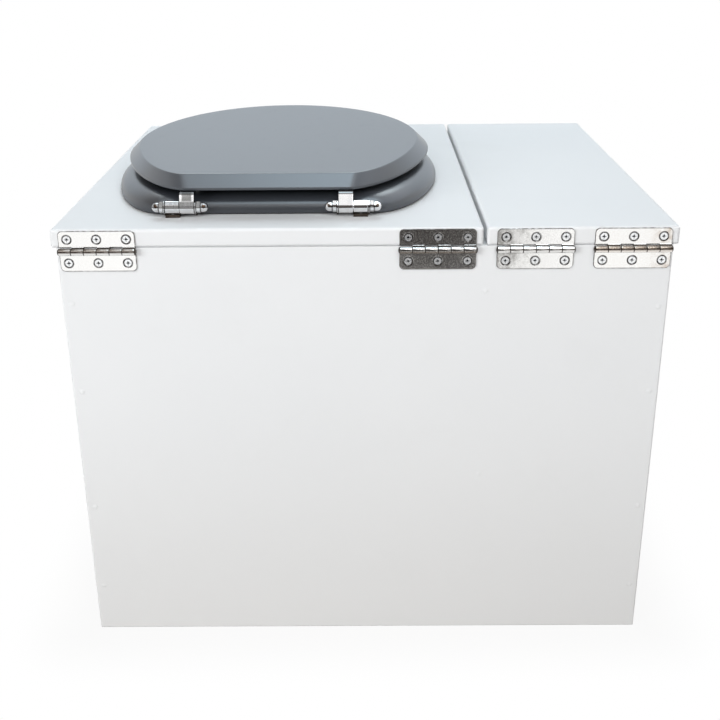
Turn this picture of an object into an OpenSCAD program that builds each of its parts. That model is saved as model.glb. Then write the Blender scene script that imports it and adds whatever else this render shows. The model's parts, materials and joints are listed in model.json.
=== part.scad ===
// Composting toilet: a white panel box with a hinged seat board over a bucket
// and a hinged lid over a litter compartment beside it.
// Built in millimetres from the middle of the footprint, +Z up.
// The hinge side faces -Y, the side a person sits toward is +Y.

/* [Box] */
// Width of the box, outside
cabinet_w = 590; // [570:1:620]
// Depth of the box, outside
cabinet_d = 531; // [505:1:560]
// Height of the box without its lids
cabinet_h = 437.5; // [425:0.5:460]
// Thickness of the box panels and hinged boards
board_t = 18; // [16:0.5:19]
// Inside width of the litter compartment
litter_w = 151; // [130:1:170]
// Rounding of the outer edges of the box
panel_round = 2; // [1:0.5:4]

/* [Hinged boards] */
// Overhang of the boards past each side of the box
side_overhang = 5; // [2:0.5:8]
// Overhang of the boards past the front of the box
front_overhang = 5; // [2:0.5:12]
// Gap between the two boards
board_gap = 3.5; // [2.5:0.5:5]
// Rounding of the board edges
edge_round = 3; // [2:0.5:5]
// Corner radius of the seat board at its front inner corner
soft_corner = 9; // [5:0.5:14]
// Width of the opening in the seat board
opening_w = 220; // [210:1:226]
// Length of the opening in the seat board
opening_len = 270; // [262:1:276]
// Distance from the rear face to the middle of the opening
opening_y = 276; // [270:1:282]

/* [Board hinges] */
// Length of a hinge leaf
leaf_len = 73.5; // [70:0.5:78]
// Distance from the pin to the free edge of a leaf
leaf_half = 20; // [19:0.5:21]
// Sheet thickness of a leaf
leaf_t = 1.4; // [1:0.1:1.6]
// Radius of the hinge knuckles
knuckle_r = 3.4; // [3:0.1:3.5]
// Radius of the hinge pin
pin_r = 1.75; // [1.4:0.05:1.9]
// Spacing of the three screws along a leaf
leaf_pitch = 28.4; // [26:0.2:30]
// Distance from the pin to the screw row
leaf_row = 11.7; // [11:0.1:12.5]

/* [Seat ring and lid] */
// Width of the seat ring
ring_w = 351.4; // [342:0.2:358]
// Length of the seat ring
ring_len = 433; // [425:0.2:441]
// Distance from the rear face to the rear edge of the seat ring
ring_back = 52; // [51:0.5:56]
// Thickness of the seat ring
ring_t = 16.9; // [15.5:0.1:17.5]
// Top round-over of the seat ring
ring_round = 8.7; // [6:0.1:10]
// Bottom round-over of the seat ring
ring_foot = 5; // [3:0.1:6]
// Width of the hole in the seat ring
hole_w = 212; // [202:1:218]
// Length of the hole in the seat ring
hole_len = 266; // [258:1:272]
// Width of the seat lid
seat_lid_w = 339.4; // [330:0.2:346]
// Length of the seat lid
seat_lid_len = 428.2; // [420:0.2:432]
// Thickness of the seat lid
seat_lid_t = 14.4; // [12:0.1:16]
// Width of the bevel round the top of the seat lid
lid_bevel = 12.3; // [9:0.1:14]
// Height of the ring bumpers
ring_lift = 2; // [1.8:0.1:2.6]
// Height of the lid bumpers
lid_lift = 5.2; // [4.6:0.1:6]

/* [Seat hinges] */
// Distance between the middles of the two seat hinges
hinge_spread = 170.5; // [150:0.1:176]
// Radius of the seat hinge barrels
barrel_r = 6.5; // [6.2:0.1:6.7]
// Length of one seat hinge barrel
barrel_len = 14.3; // [13:0.1:15]
// Height of the hinge line above the seat board
pivot_lift = 9.6; // [9.4:0.1:10.4]
// Radius of the seat hinge pin
seat_pin_r = 3; // [2.5:0.1:3.2]
// Width across the flats of a cap nut
nut_flats = 10; // [9:0.5:10.5]
// Radius of the stud through the seat board
stud_r = 3; // [2.5:0.25:3.2]

/* [Bucket] */
// Height of the bucket
bucket_h = 370; // [345:1:380]
// Taper of the bucket wall from rim to foot
bucket_taper = 37; // [30:1:45]
// Gap between the bail and the left panel
bail_room = 14; // [10:1:30]
// How much further than its half width the bail reaches
bail_rise = 27.75; // [18:0.25:32]
// Radius of the bail wire
wire_r = 2.5; // [2:0.1:3]
// Radius of the grip
grip_r = 12; // [9:0.5:13]
// Length of the grip
grip_len = 92; // [80:1:110]

/* [Urine deflector] */
// Height of the deflector sheet below the seat board
deflector_h = 80; // [60:1:90]
// Width of the deflector's arc in degrees
deflector_arc = 120; // [100:2:140]

/* [Clearances] */
// Gap between pieces that rest on each other and come apart
rest_gap = 0.2; // [0.1:0.05:0.3]
// Radial clearance of a pin in its bore
pin_clearance = 0.05; // [0.03:0.01:0.08]
// Radial clearance of a screw in its hole
screw_clearance = 0.05; // [0.03:0.01:0.08]
// Gap between neighbouring knuckles and barrels
side_clearance = 0.3; // [0.2:0.05:0.4]

/* [Hidden] */
$fn = 64;
cut = 1;

paint_white = [0.93, 0.94, 0.94];
steel = [0.72, 0.73, 0.74];
seat_grey = [0.62, 0.64, 0.67];
rubber_grey = [0.35, 0.36, 0.37];
grip_wood = [0.70, 0.52, 0.33];
pad_brown = [0.30, 0.22, 0.15];

divider_x = cabinet_w / 2 - board_t - litter_w - board_t / 2;
board_edge_x = cabinet_w / 2 + side_overhang;
board_d = cabinet_d + front_overhang;
seat_board_w = divider_x - board_gap + board_edge_x;
litter_lid_w = board_edge_x - divider_x;
seat_x = seat_board_w / 2 - board_edge_x;
under_z = cabinet_h + rest_gap;
top_z = under_z + board_t;

// board hinges
leaf_drop = 3;
hinge_y = -(knuckle_r + side_clearance);
hinge_z = under_z - leaf_drop;
hinge_x = [44.5 - board_edge_x, divider_x - board_gap - 43.5, divider_x + 46.2,
    board_edge_x - 44];
knuckles = 6;
knuckle_len = leaf_len / knuckles;
leaf_notch = knuckle_r + 0.4;
leaf_corner = 4.5;
leaf_screw_r = 1.75;
leaf_screw_head = 3.9;
leaf_screw_len = 16;

// panel screws
panel_screw_r = 2;
panel_screw_head = 3.4;
panel_screw_len = 45;
left_screw_z = [56, 154, 287, 381];
right_screw_z = [54, 152, 285, 375];
divider_screw_z = [191, 392.5];
floor_screw_y = [90, 265.5, 441];
side_screw_x = cabinet_w / 2 - board_t / 2;

// seat outlines: half width, half of the straight rear edge, rear, widest, front
ring_shift = -1.7;
hinge_shift = -2.9;
lid_shift = -2.9;
quarter = 18;
rear_steps = 3;
ring_front = ring_back + ring_len;
ring_shape = [ring_w / 2, 107.5, ring_back, ring_back + 172.8, ring_front, 2, 1.76];
hole_back = opening_y - hole_len / 2;
hole_shape = [hole_w / 2, 40, hole_back, hole_back + 128, hole_back + hole_len, 2, 2];
lid_back = ring_back + 0.8;
lid_shape = [seat_lid_w / 2, 80.6, lid_back, lid_back + 197.8, lid_back + seat_lid_len, 2, 1.61];
ring_under = top_z + ring_lift;
lid_under = ring_under + ring_t + lid_lift;
front_bumper_in = 78;
side_bumper_in = 46.7;
lid_bumper_shift = [4, 5];
bumper_spots = [[ring_w / 2 - front_bumper_in - 17.7, ring_front - front_bumper_in],
    [ring_w / 2 - side_bumper_in, ring_back + 0.3 * ring_len + 3.1]];
lid_bumper_spots = [bumper_spots[0] + lid_bumper_shift, bumper_spots[1] + [lid_bumper_shift[0], 0]];
ring_bumper_r = 8;
lid_bumper_r = 6;
peg_r = 2.5;
peg_len = 7;

// seat hinges
pivot_gap = 0.6;
pivot_y = ring_back - barrel_r - pivot_gap;
pivot_z = top_z + pivot_lift;
pad_d = 7.6;
pad_t = pivot_lift - barrel_r - rest_gap;
arm_y = 3;
lower_washer_r = 8;
lower_washer_t = 1.2;
wing_hub_r = stud_r + 2.2;
wing_h = 8;
stud_tail = 6;
ear_t = 1.5;
ear_r = 6.2;
fork_half = side_clearance / 2 + barrel_len + side_clearance;
bracket_t = 1.2;
bracket_back = ring_back + 0.5;
bracket_front = ring_back + 38;
bracket_screw_y = [ring_back + 10, ring_back + 29];
strap_t = 2;
strap_back = pivot_y - 4.2;
strap_front = lid_back + 43;
strap_screw_y = [lid_back + 14, lid_back + 34];
strap_x = side_clearance / 2 + barrel_len / 2;
seat_screw_r = 1.75;
seat_screw_head = 3.2;
seat_screw_len = 10;
nut_hex_t = 4;
nut_dome_r = 4.65;
nut_len = 11.6;
nut_bore = 5.3;

// bucket
bucket_y = opening_y + 5;
wall_t = 1;
rim_bead_r = 3.5;
ear_drop = 25;
bucket_ear_r = 7;
bail_half = seat_x + cabinet_w / 2 - board_t - bail_room - wire_r;
bucket_top_r = bail_half - 10;
bucket_foot_r = bucket_top_r - bucket_taper;
ear_reach = bail_half - 4;
bail_reach = bail_half + bail_rise;
bail_straight = grip_len / 2 + 5;
bail_corner = bail_half - bail_straight;
grip_gap = 0.3;
swage_out = 1.6;
swage_z = [60, bucket_h - 62];
ear_z = board_t + bucket_h - ear_drop;
wall_slope = (bucket_top_r - bucket_foot_r) / bucket_h;
ear_wall_r = bucket_foot_r + wall_slope * (bucket_h - ear_drop);
hang_angle = atan(wall_slope)
    + acos((ear_wall_r + grip_r + grip_gap) / (bail_reach * sqrt(1 + wall_slope * wall_slope)));

// deflector
sheet_t = 1;
deflector_top_r = opening_w / 2 + 1;
deflector_low_r = 95;
deflector_flange = 20;
front_arc_y = opening_y + (opening_len - opening_w) / 2;
deflector_screw_r = deflector_top_r + 11;
deflector_head_r = 3.5;
deflector_head_h = 2;

// Moves the construction so that the middle of the footprint is the origin.
module from_rear() {
    translate([0, -cabinet_d / 2, 0]) children();
}

// Rectangle with its own radius at each corner, from the origin corner round.
module round_rect(size, r) {
    w = size[0];
    h = size[1];
    polygon(concat(
        r[0] > 0 ? [[0, r[0]], [r[0], 0]] : [[0, 0]],
        r[1] > 0 ? [[w - r[1], 0], [w, r[1]]] : [[w, 0]],
        r[2] > 0 ? [[w, h - r[2]], [w - r[2], h]] : [[w, h]],
        r[3] > 0 ? [[r[3], h], [0, h - r[3]]] : [[0, h]]));
    if (r[0] > 0) translate([r[0], r[0]]) circle(r[0]);
    if (r[1] > 0) translate([w - r[1], r[1]]) circle(r[1]);
    if (r[2] > 0) translate([w - r[2], h - r[2]]) circle(r[2]);
    if (r[3] > 0) translate([r[3], h - r[3]]) circle(r[3]);
}

// Block rounded in plan, from the side and from the front.
module eased_block(size, plan_r, side_r, front_r) {
    intersection() {
        linear_extrude(size[2]) round_rect([size[0], size[1]], plan_r);
        rotate([90, 0, 90]) linear_extrude(size[0]) round_rect([size[1], size[2]], side_r);
        translate([0, size[1], 0]) rotate([90, 0, 0])
            linear_extrude(size[1]) round_rect([size[0], size[2]], front_r);
    }
}

// Countersunk screw with its head at z = 0, pointing down; grow widens it to its hole.
module countersunk(shank_r, head_r, length, dome, grow) {
    r = shank_r + grow;
    h = head_r + grow;
    rotate_extrude() {
        polygon([[0, 0], [h, 0], [r, -(h - r)], [r, -length + 1.5 - grow], [0, -length - grow]]);
        if (dome > 0) dome_section(head_r - 0.15, dome);
    }
}

// Half section of a shallow dome of the given radius and height.
module dome_section(radius, height) {
    ball = (radius * radius + height * height) / (2 * height);
    intersection() {
        translate([0, height - ball]) circle(ball);
        square([radius + 1, height + 1]);
    }
}

// Cross recess cut into a screw head at z = 0.
module cross_recess(reach, width, depth) {
    for (a = [0, 90]) rotate([0, 0, a])
        translate([-reach, -width / 2, -depth]) cube([2 * reach, width, depth + cut]);
}

module panel_screw(grow) {
    countersunk(panel_screw_r, panel_screw_head, panel_screw_len, grow > 0 ? 0 : 0.6, grow);
}

// Places its children at the screws of the rear panel, heads out.
module at_rear_screws() {
    for (z = left_screw_z) translate([-side_screw_x, 0, z]) rotate([90, 0, 0]) children();
    for (z = right_screw_z) translate([side_screw_x, 0, z]) rotate([90, 0, 0]) children();
    for (z = divider_screw_z) translate([divider_x, 0, z]) rotate([90, 0, 0]) children();
}

// Places its children at the screws of the front panel, heads out.
module at_front_screws() {
    for (x = [-side_screw_x, side_screw_x], z = left_screw_z)
        translate([x, cabinet_d, z]) rotate([-90, 0, 0]) children();
    for (z = divider_screw_z) translate([divider_x, cabinet_d, z]) rotate([-90, 0, 0]) children();
}

// Places its children at the screws from one side panel into the floor.
module at_side_screws(side) {
    for (y = floor_screw_y)
        translate([side * cabinet_w / 2, y, board_t / 2]) rotate([0, side * 90, 0]) children();
}

// Places its children at the screws from below into the divider.
module at_floor_screws() {
    for (y = floor_screw_y) translate([divider_x, y, 0]) rotate([180, 0, 0]) children();
}

module rear_panel() color(paint_white) from_rear() difference() {
    r = panel_round;
    translate([-cabinet_w / 2, 0, 0])
        eased_block([cabinet_w, board_t, cabinet_h], [r, r, 0, 0], [r, 0, 0, 0], [r, r, 0, 0]);
    at_rear_screws() panel_screw(screw_clearance);
    for (x = hinge_x) translate([x, 0, 0]) at_leaf_screws(-1) leaf_screw(screw_clearance);
}

module front_panel() color(paint_white) from_rear() difference() {
    r = panel_round;
    translate([-cabinet_w / 2, cabinet_d - board_t, 0])
        eased_block([cabinet_w, board_t, cabinet_h], [0, 0, r, r], [0, r, 0, 0], [r, r, 0, 0]);
    at_front_screws() panel_screw(screw_clearance);
}

// Side panel between the front and rear panels; side is -1 or 1.
module side_panel(side) from_rear() difference() {
    r = panel_round;
    translate([side < 0 ? -cabinet_w / 2 : cabinet_w / 2 - board_t, board_t, 0])
        eased_block([board_t, cabinet_d - 2 * board_t, cabinet_h], [0, 0, 0, 0], [0, 0, 0, 0],
            side < 0 ? [r, 0, 0, 0] : [0, r, 0, 0]);
    at_rear_screws() panel_screw(screw_clearance);
    at_front_screws() panel_screw(screw_clearance);
    at_side_screws(side) panel_screw(screw_clearance);
}

module left_panel() color(paint_white) side_panel(-1);

module right_panel() color(paint_white) side_panel(1);

module divider_panel() color(paint_white) from_rear() difference() {
    translate([divider_x - board_t / 2, board_t, board_t])
        cube([board_t, cabinet_d - 2 * board_t, cabinet_h - board_t]);
    at_rear_screws() panel_screw(screw_clearance);
    at_front_screws() panel_screw(screw_clearance);
    at_floor_screws() panel_screw(screw_clearance);
}

module floor_panel() color(paint_white) from_rear() difference() {
    translate([-cabinet_w / 2 + board_t, board_t, 0])
        cube([cabinet_w - 2 * board_t, cabinet_d - 2 * board_t, board_t]);
    at_side_screws(-1) panel_screw(screw_clearance);
    at_side_screws(1) panel_screw(screw_clearance);
    at_floor_screws() panel_screw(screw_clearance);
}

module rear_screws() color(paint_white) from_rear() at_rear_screws() panel_screw(0);

module front_screws() color(paint_white) from_rear() at_front_screws() panel_screw(0);

module side_screws() color(paint_white) from_rear() {
    at_side_screws(-1) panel_screw(0);
    at_side_screws(1) panel_screw(0);
}

// The heads under the floor sit flush so that the box stands flat.
module floor_screws() color(steel) from_rear() at_floor_screws()
    countersunk(panel_screw_r, panel_screw_head, panel_screw_len, 0, 0);

// Board hinge pieces, drawn about the middle of one hinge.
module leaf_screw(grow) {
    countersunk(leaf_screw_r, leaf_screw_head, leaf_screw_len, 0, grow);
}

// Places its children at the screws of one leaf; way is 1 for the top leaf, -1 for the base leaf.
module at_leaf_screws(way) {
    for (i = [-1:1])
        translate([i * leaf_pitch, -leaf_t, hinge_z + way * leaf_row]) rotate([90, 0, 0]) children();
}

// One leaf with every second knuckle; way is 1 for the top leaf, -1 for the base leaf.
module leaf(way) {
    first = way > 0 ? 1 : 0;
    half = leaf_len / 2;
    r = leaf_corner;
    gap = side_clearance / 2;
    difference() {
        union() {
            translate([0, 0, hinge_z]) rotate([90, 0, 0]) scale([1, way, 1]) linear_extrude(leaf_t) {
                translate([-half, leaf_notch])
                    round_rect([leaf_len, leaf_half - leaf_notch], [0, 0, r, r]);
                for (k = [first:2:knuckles - 1])
                    translate([-half + k * knuckle_len + gap, 0])
                        square([knuckle_len - 2 * gap, leaf_notch + cut]);
            }
            for (k = [first:2:knuckles - 1])
                translate([-half + k * knuckle_len + gap, hinge_y, hinge_z])
                    rotate([0, 90, 0]) cylinder(r = knuckle_r, h = knuckle_len - 2 * gap);
        }
        translate([-half - cut, hinge_y, hinge_z])
            rotate([0, 90, 0]) cylinder(r = pin_r + pin_clearance, h = leaf_len + 2 * cut);
        at_leaf_screws(way) leaf_screw(screw_clearance);
    }
}

// Hinge pin with a riveted head at each end.
module hinge_pin() {
    head_r = knuckle_r - 0.2;
    half = leaf_len / 2;
    translate([0, hinge_y, hinge_z]) rotate([0, 90, 0]) {
        translate([0, 0, -half - 0.5]) cylinder(r = pin_r, h = leaf_len + 1);
        for (s = [-1, 1]) translate([0, 0, s * half]) rotate([s < 0 ? 180 : 0, 0, 0])
            rotate_extrude() dome_section(head_r, 1.25);
    }
}

module slotted_leaf_screws(x_list, way) {
    for (x = x_list) translate([x, 0, 0]) at_leaf_screws(way) difference() {
        leaf_screw(0);
        cross_recess(2.2, 0.9, 1.2);
    }
}

module base_leaf_1() color(steel) from_rear() translate([hinge_x[0], 0, 0]) leaf(-1);
module base_leaf_2() color(steel) from_rear() translate([hinge_x[1], 0, 0]) leaf(-1);
module base_leaf_3() color(steel) from_rear() translate([hinge_x[2], 0, 0]) leaf(-1);
module base_leaf_4() color(steel) from_rear() translate([hinge_x[3], 0, 0]) leaf(-1);
module top_leaf_1() color(steel) from_rear() translate([hinge_x[0], 0, 0]) leaf(1);
module top_leaf_2() color(steel) from_rear() translate([hinge_x[1], 0, 0]) leaf(1);
module top_leaf_3() color(steel) from_rear() translate([hinge_x[2], 0, 0]) leaf(1);
module top_leaf_4() color(steel) from_rear() translate([hinge_x[3], 0, 0]) leaf(1);
module hinge_pin_1() color(steel) from_rear() translate([hinge_x[0], 0, 0]) hinge_pin();
module hinge_pin_2() color(steel) from_rear() translate([hinge_x[1], 0, 0]) hinge_pin();
module hinge_pin_3() color(steel) from_rear() translate([hinge_x[2], 0, 0]) hinge_pin();
module hinge_pin_4() color(steel) from_rear() translate([hinge_x[3], 0, 0]) hinge_pin();

module base_leaf_screws() color(steel) from_rear() slotted_leaf_screws(hinge_x, -1);

module seat_board_leaf_screws() color(steel) from_rear()
    slotted_leaf_screws([hinge_x[0], hinge_x[1]], 1);

module litter_lid_leaf_screws() color(steel) from_rear()
    slotted_leaf_screws([hinge_x[2], hinge_x[3]], 1);

// Hinged boards.
module seat_board() color(paint_white) from_rear() difference() {
    r = edge_round;
    e = [r, r, r, r];
    translate([-board_edge_x, 0, under_z])
        eased_block([seat_board_w, board_d, board_t], [r, r, soft_corner, r], e, e);
    for (s = [-1, 1])
        translate([seat_x, opening_y + s * (opening_len - opening_w) / 2, under_z - cut])
            cylinder(r = opening_w / 2, h = board_t + 2 * cut, $fn = 128);
    translate([seat_x - opening_w / 2, opening_y - (opening_len - opening_w) / 2, under_z - cut])
        cube([opening_w, opening_len - opening_w, board_t + 2 * cut]);
    for (x = [hinge_x[0], hinge_x[1]])
        translate([x, 0, 0]) at_leaf_screws(1) leaf_screw(screw_clearance);
    at_seat_hinges() translate([-strap_x, pivot_y, under_z - cut])
        cylinder(r = stud_r + 0.5, h = board_t + 2 * cut);
    at_deflector_screws() deflector_screw(screw_clearance);
}

module litter_lid() color(paint_white) from_rear() difference() {
    r = edge_round;
    e = [r, r, r, r];
    translate([divider_x, 0, under_z])
        eased_block([litter_lid_w, board_d, board_t], e, e, e);
    for (x = [hinge_x[2], hinge_x[3]])
        translate([x, 0, 0]) at_leaf_screws(1) leaf_screw(screw_clearance);
}

// Curved sheet under the front of the opening that leads urine into the bucket.
module urine_deflector() color(steel) from_rear() difference() {
    translate([seat_x, front_arc_y, under_z]) rotate([0, 0, 90 - deflector_arc / 2])
        rotate_extrude(angle = deflector_arc, $fn = 128) polygon([
            [deflector_top_r, 0], [deflector_top_r + deflector_flange, 0],
            [deflector_top_r + deflector_flange, -sheet_t], [deflector_top_r + sheet_t, -sheet_t],
            [deflector_low_r + sheet_t, -deflector_h], [deflector_low_r, -deflector_h]]);
    at_deflector_screws() deflector_screw(screw_clearance);
}

// Places its children at the deflector screws, heads down.
module at_deflector_screws() {
    for (a = [-42, 0, 42])
        translate([seat_x, front_arc_y, under_z - sheet_t]) rotate([0, 0, a])
            translate([0, deflector_screw_r, 0]) rotate([180, 0, 0]) children();
}

// Round-headed screw with the underside of its head at z = 0, pointing down.
module deflector_screw(grow) {
    rotate_extrude() {
        polygon([[0, 0], [seat_screw_r + grow, 0], [seat_screw_r + grow, 1 - seat_screw_len - grow],
            [0, -seat_screw_len - grow]]);
        if (grow == 0) dome_section(deflector_head_r, deflector_head_h);
    }
}

module deflector_screws() color(steel) from_rear() at_deflector_screws() difference() {
    deflector_screw(0);
    translate([0, 0, deflector_head_h]) cross_recess(1.8, 0.8, 1.1);
}

// Places its children at both seat hinges, drawn for the left one.
module at_seat_hinges() {
    for (s = [-1, 1]) translate([seat_x + hinge_shift + s * hinge_spread / 2, 0, 0])
        mirror([s > 0 ? 1 : 0, 0, 0]) children();
}

// Barrel along X with small end chamfers, centred on the hinge line.
module barrel() {
    c = 0.6;
    half = barrel_len / 2;
    translate([0, pivot_y, pivot_z]) rotate([0, 90, 0]) rotate_extrude()
        polygon([[0, -half], [barrel_r - c, -half], [barrel_r, -half + c], [barrel_r, half - c],
            [barrel_r - c, half], [0, half]]);
}

module seat_pin_bore() {
    translate([-50, pivot_y, pivot_z]) rotate([0, 90, 0])
        cylinder(r = seat_pin_r + pin_clearance, h = 100);
}

// Barrel on a stud that goes down through the seat board.
module seat_posts() color(steel) from_rear() at_seat_hinges() difference() {
    stud_end = under_z - lower_washer_t - wing_h - stud_tail;
    union() {
        translate([-strap_x, 0, 0]) barrel();
        translate([-strap_x, pivot_y, stud_end])
            cylinder(r = stud_r, h = pivot_z - stud_end - seat_pin_r);
    }
    seat_pin_bore();
}

module disc_washer(radius, thickness) {
    difference() {
        cylinder(r = radius, h = thickness);
        translate([0, 0, -cut]) cylinder(r = stud_r + screw_clearance, h = thickness + 2 * cut);
    }
}

// Spacer between each barrel and the seat board.
module post_pads() color(pad_brown) from_rear() at_seat_hinges()
    translate([-strap_x, pivot_y, top_z]) difference() {
        translate([-barrel_len / 2, -pad_d / 2, 0]) cube([barrel_len, pad_d, pad_t]);
        translate([0, 0, -cut]) cylinder(r = stud_r + screw_clearance, h = pad_t + 2 * cut);
    }

module post_washers() color(steel) from_rear() at_seat_hinges()
    translate([-strap_x, pivot_y, under_z - lower_washer_t])
        disc_washer(lower_washer_r, lower_washer_t);

// Wing nut below the seat board, wings along X.
module wing_nuts() color(steel) from_rear() at_seat_hinges()
    translate([-strap_x, pivot_y, under_z - lower_washer_t - wing_h]) difference() {
        union() {
            cylinder(r1 = wing_hub_r - 0.8, r2 = wing_hub_r, h = wing_h);
            for (s = [-1, 1]) {
                translate([s * 10, 1.5, 2]) rotate([90, 0, 0]) cylinder(r = 5, h = 3);
                translate([s > 0 ? 0 : -10, -1.5, 0]) cube([10, 3, 5.5]);
            }
        }
        translate([0, 0, -10]) cylinder(r = stud_r + screw_clearance, h = wing_h + 20);
    }

module seat_hinge_pins() color(steel) from_rear() at_seat_hinges()
    translate([-fork_half - ear_t - 5, pivot_y, pivot_z]) rotate([0, 90, 0])
        cylinder(r = seat_pin_r, h = 2 * (fork_half + ear_t + 5));

// Cap nut with its open end at z = 0, pointing up.
module cap_nut() {
    hex_r = nut_flats / 2 / cos(30);
    ball_z = nut_len - nut_dome_r;
    difference() {
        union() {
            intersection() {
                linear_extrude(nut_hex_t) polygon([for (i = [0:5]) hex_r * [cos(60 * i), sin(60 * i)]]);
                cylinder(r1 = hex_r + 1.6, r2 = hex_r - 0.5, h = nut_hex_t + 0.6);
            }
            cylinder(r = nut_dome_r, h = ball_z);
            translate([0, 0, ball_z]) sphere(r = nut_dome_r);
        }
        translate([0, 0, -cut]) cylinder(r = seat_pin_r + screw_clearance, h = nut_bore + cut);
    }
}

module cap_nuts() color(steel) from_rear() at_seat_hinges() for (s = [-1, 1])
    translate([s * (fork_half + ear_t), pivot_y, pivot_z]) rotate([0, s * 90, 0]) cap_nut();

// Closed plan outline, counterclockwise from the right, drawn in by the given inset.
function outline(shape, inset) =
    let (a = shape[0] - inset, b = shape[1] - 0.35 * inset, y0 = shape[2] + inset,
        ym = shape[3], y1 = shape[4] - inset, f = 2 / shape[5], g = 2 / shape[6], n = quarter)
    concat(
        [for (i = [0:n - 1]) let (t = 90 * i / n)
            [a * pow(cos(t), f), ym + (y1 - ym) * pow(sin(t), f)]],
        [for (i = [0:n - 1]) let (t = 90 - 90 * i / n)
            [-a * pow(cos(t), f), ym + (y1 - ym) * pow(sin(t), f)]],
        [for (i = [0:n - 1]) let (t = 90 * i / n)
            [-b - (a - b) * pow(cos(t), g), ym - (ym - y0) * pow(sin(t), g)]],
        [for (i = [0:rear_steps + 1]) [-b + 2 * b * i / (rear_steps + 1), y0]],
        [for (i = [1:n - 1]) let (t = 90 - 90 * i / n)
            [b + (a - b) * pow(cos(t), g), ym - (ym - y0) * pow(sin(t), g)]]);

// Section of the seat ring: share of the way to the hole, inset, height.
function ring_section() = concat(
    [for (t = [0:22.5:90]) [0, ring_foot * (1 - sin(t)), ring_foot * (1 - cos(t))]],
    [for (t = [0:15:90]) [0, ring_round * (1 - cos(t)), ring_t - ring_round * (1 - sin(t))]],
    [[0.7, 10, ring_t], [1, 11, ring_t - 0.8], [1, 7, ring_t - 2.4], [1, 3.4, ring_t - 5],
        [1, 1, ring_t - 8.4], [1, 0, ring_t - 11.5], [1, 0.6, 2], [1, 2.4, 0]]);

function ring_layer(level) =
    let (o = outline(ring_shape, level[1]), h = outline(hole_shape, -level[1]), w = level[0])
    [for (i = [0:len(o) - 1]) let (p = o[i] * (1 - w) + h[i] * w) [p[0], p[1], level[2]]];

// Triangles between closed layers of n points each.
function wall_faces(n, layers) = [for (j = [0:layers - 2], i = [0:n - 1], k = [0, 1])
    let (a = j * n + i, b = j * n + (i + 1) % n, c = a + n, d = b + n)
    k == 0 ? [a, d, b] : [a, c, d]];

module seat_ring_body() {
    section = ring_section();
    m = len(section);
    layers = [for (level = section) ring_layer(level)];
    n = len(layers[0]);
    closing = [for (i = [0:n - 1], k = [0, 1])
        let (a = (m - 1) * n + i, b = (m - 1) * n + (i + 1) % n, c = i, d = (i + 1) % n)
        k == 0 ? [a, d, b] : [a, c, d]];
    polyhedron(points = [for (layer = layers, p = layer) p],
        faces = concat(wall_faces(n, m), closing), convexity = 6);
}

module seat_ring() color(seat_grey) from_rear() difference() {
    translate([seat_x + ring_shift, 0, ring_under]) seat_ring_body();
    at_bracket_screws() seat_screw(screw_clearance);
    for (s = [-1, 1], p = bumper_spots) translate([seat_x + s * p[0], p[1], ring_under - cut])
        cylinder(r = peg_r + screw_clearance, h = peg_len + cut);
}

module seat_screw(grow) {
    countersunk(seat_screw_r, seat_screw_head, seat_screw_len, 0, grow);
}

module at_bracket_screws() {
    at_seat_hinges() for (y = bracket_screw_y)
        translate([0, y, ring_under - bracket_t]) rotate([180, 0, 0]) children();
}

module at_strap_screws() {
    at_seat_hinges() for (y = strap_screw_y)
        translate([strap_x, y, lid_under - strap_t]) rotate([180, 0, 0]) children();
}

// Fork under the seat ring with an ear outside each barrel.
module ring_brackets() color(steel) from_rear() difference() {
    low = ring_under - bracket_t;
    at_seat_hinges() {
        for (s = [-1, 1])
            translate([s > 0 ? fork_half : -fork_half - ear_t, 0, 0]) rotate([90, 0, 90])
                linear_extrude(ear_t) {
                    translate([pivot_y, pivot_z]) circle(ear_r);
                    translate([pivot_y + arm_y, low])
                        square([ring_back - 0.5 - pivot_y - arm_y, pivot_z - low]);
                    translate([pivot_y + arm_y, low])
                        square([bracket_back + cut - pivot_y - arm_y, bracket_t]);
                }
        translate([-fork_half - ear_t, bracket_back, low])
            cube([2 * (fork_half + ear_t), bracket_front - bracket_back, bracket_t]);
    }
    at_seat_hinges() seat_pin_bore();
    at_bracket_screws() seat_screw(screw_clearance);
}

module bracket_screws() color(steel) from_rear() at_bracket_screws() difference() {
    seat_screw(0);
    cross_recess(1.8, 0.8, 1);
}

// Rubber bumper with its foot at z = 0 and a peg on top.
module bumper(radius, height) {
    rotate_extrude() polygon([[0, 0], [radius - 0.8, 0], [radius, 0.8], [radius, height],
        [peg_r, height], [peg_r, height + peg_len - 0.3], [0, height + peg_len - 0.3]]);
}

module ring_bumpers() color(rubber_grey) from_rear() for (s = [-1, 1], p = bumper_spots)
    translate([seat_x + s * p[0], p[1], top_z + rest_gap])
        bumper(ring_bumper_r, ring_lift - rest_gap);

module lid_straps() color(steel) from_rear() difference() {
    at_seat_hinges() translate([strap_x, 0, 0]) {
        barrel();
        translate([-barrel_len / 2, strap_back, pivot_z]) rotate([90, 0, 90])
            linear_extrude(barrel_len) difference() {
                round_rect([strap_front - strap_back, lid_under - pivot_z], [0, 0, 0, 2.5]);
                translate([strap_t, -cut])
                    square([strap_front, lid_under - pivot_z - strap_t + cut]);
            }
    }
    at_seat_hinges() seat_pin_bore();
    at_strap_screws() seat_screw(screw_clearance);
}

module strap_screws() color(steel) from_rear() at_strap_screws() difference() {
    seat_screw(0);
    cross_recess(1.8, 0.8, 1);
}

// Section of the seat lid: inset, height.
lid_section = [[0.8, 0], [0, 0.8], [0, 2.5], [0.3, 3.1], [lid_bevel - 1.6, seat_lid_t - 1.2],
    [lid_bevel - 0.6, seat_lid_t - 0.35], [lid_bevel + 1.4, seat_lid_t]];

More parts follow.
